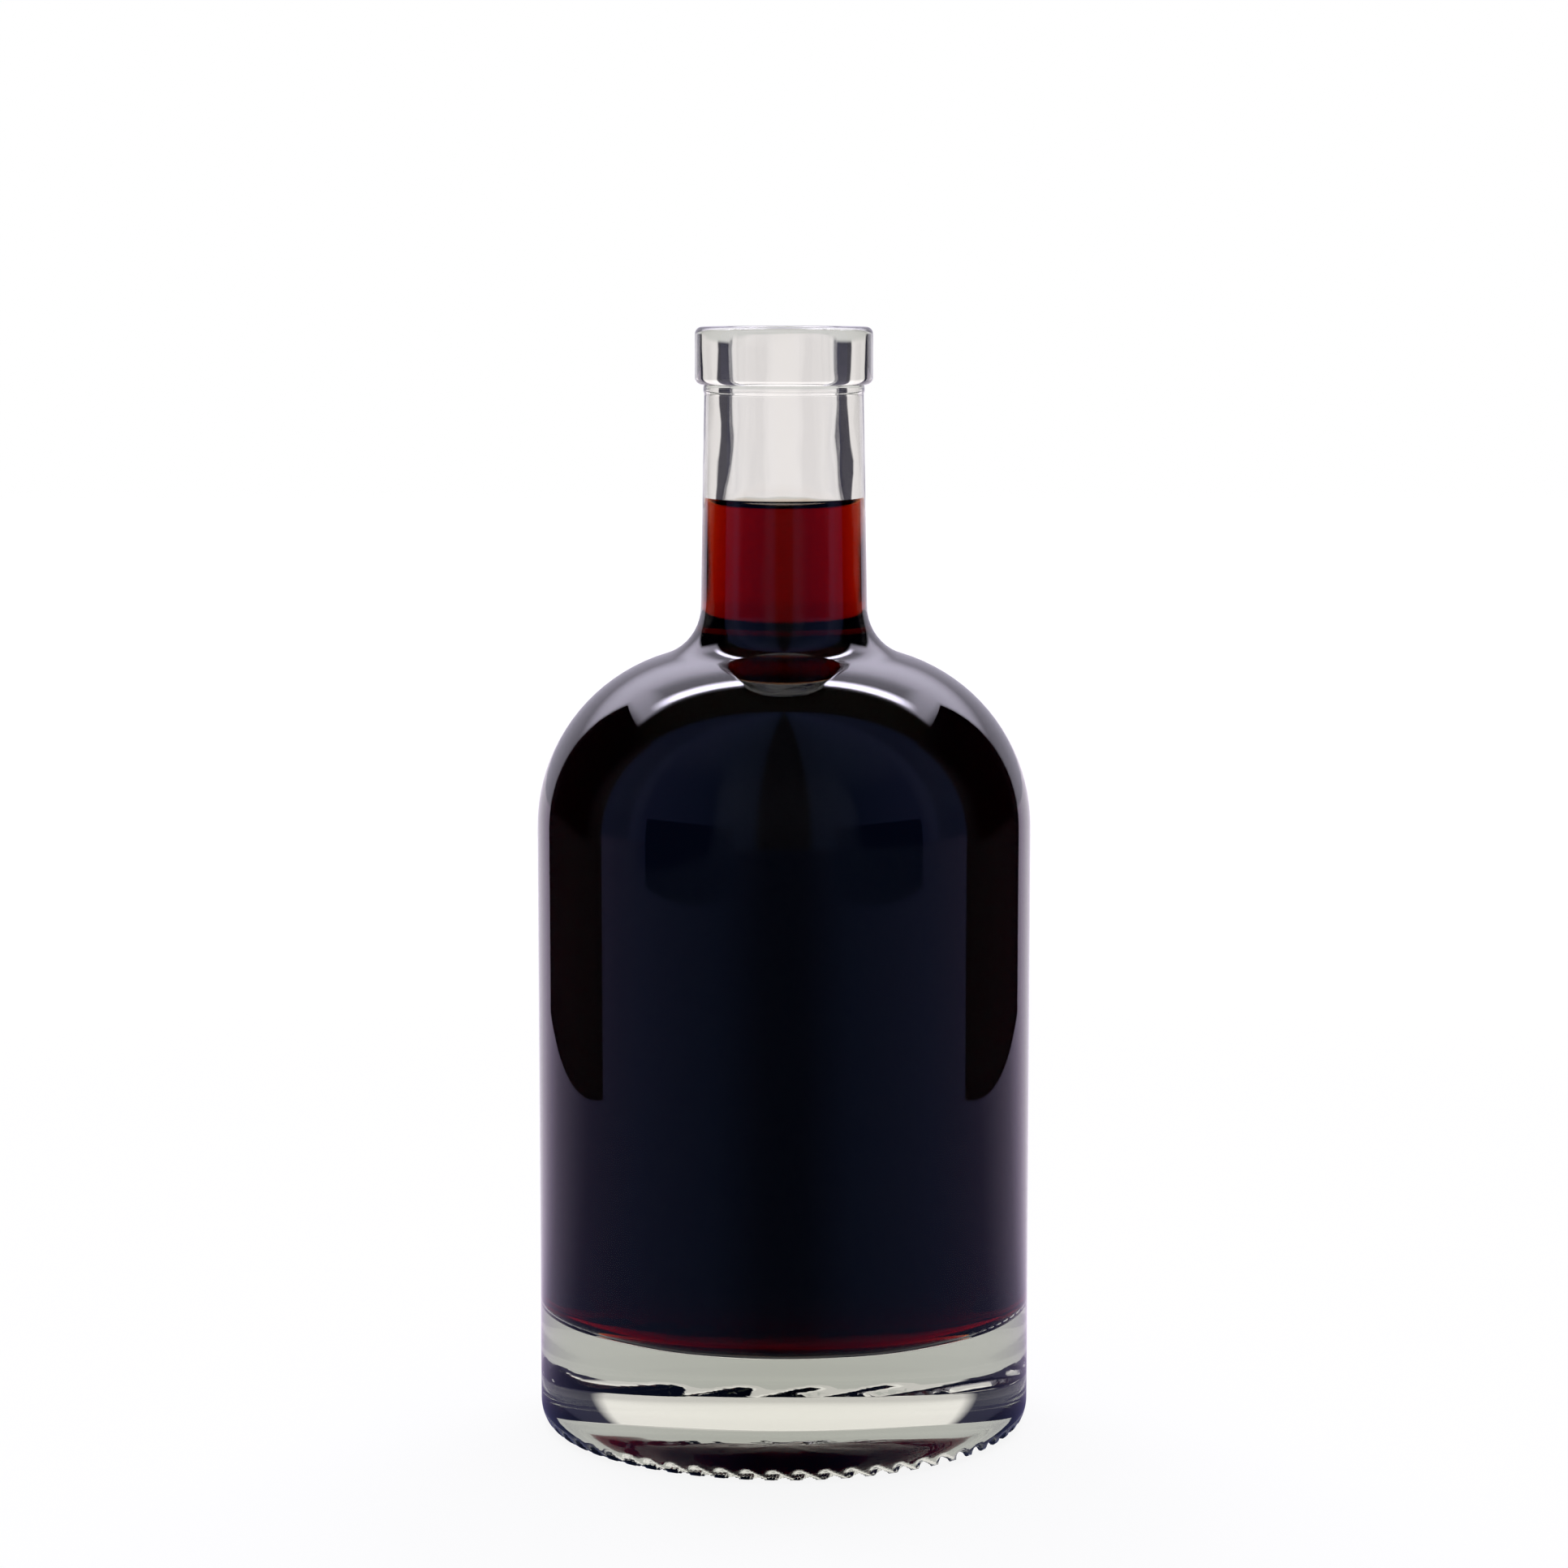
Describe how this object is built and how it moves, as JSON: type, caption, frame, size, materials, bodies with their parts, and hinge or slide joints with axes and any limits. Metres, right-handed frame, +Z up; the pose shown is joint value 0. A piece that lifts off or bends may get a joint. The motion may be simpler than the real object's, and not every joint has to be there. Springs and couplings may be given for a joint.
{
  "type": "glass bottle",
  "caption": "Round clear-glass spirits bottle with a round shoulder, a short neck with a ring finish, a thick knurled base and a fill of dark red liquid, open at the mouth.",
  "frame": {"origin": "on the bottle's axis, on the surface that its foot stands on", "axes": "+Z up along the bottle's axis, towards the mouth; X and Y are alike, as the bottle is round"},
  "size_m": [0.084, 0.084, 0.188],
  "materials": {
    "clear_glass": "polished",
    "dark_liqueur": "gloss"
  },
  "bodies": {
    "root": {"bottle": "clear_glass", "liquid": "dark_liqueur"}
  },
  "joints": []
}
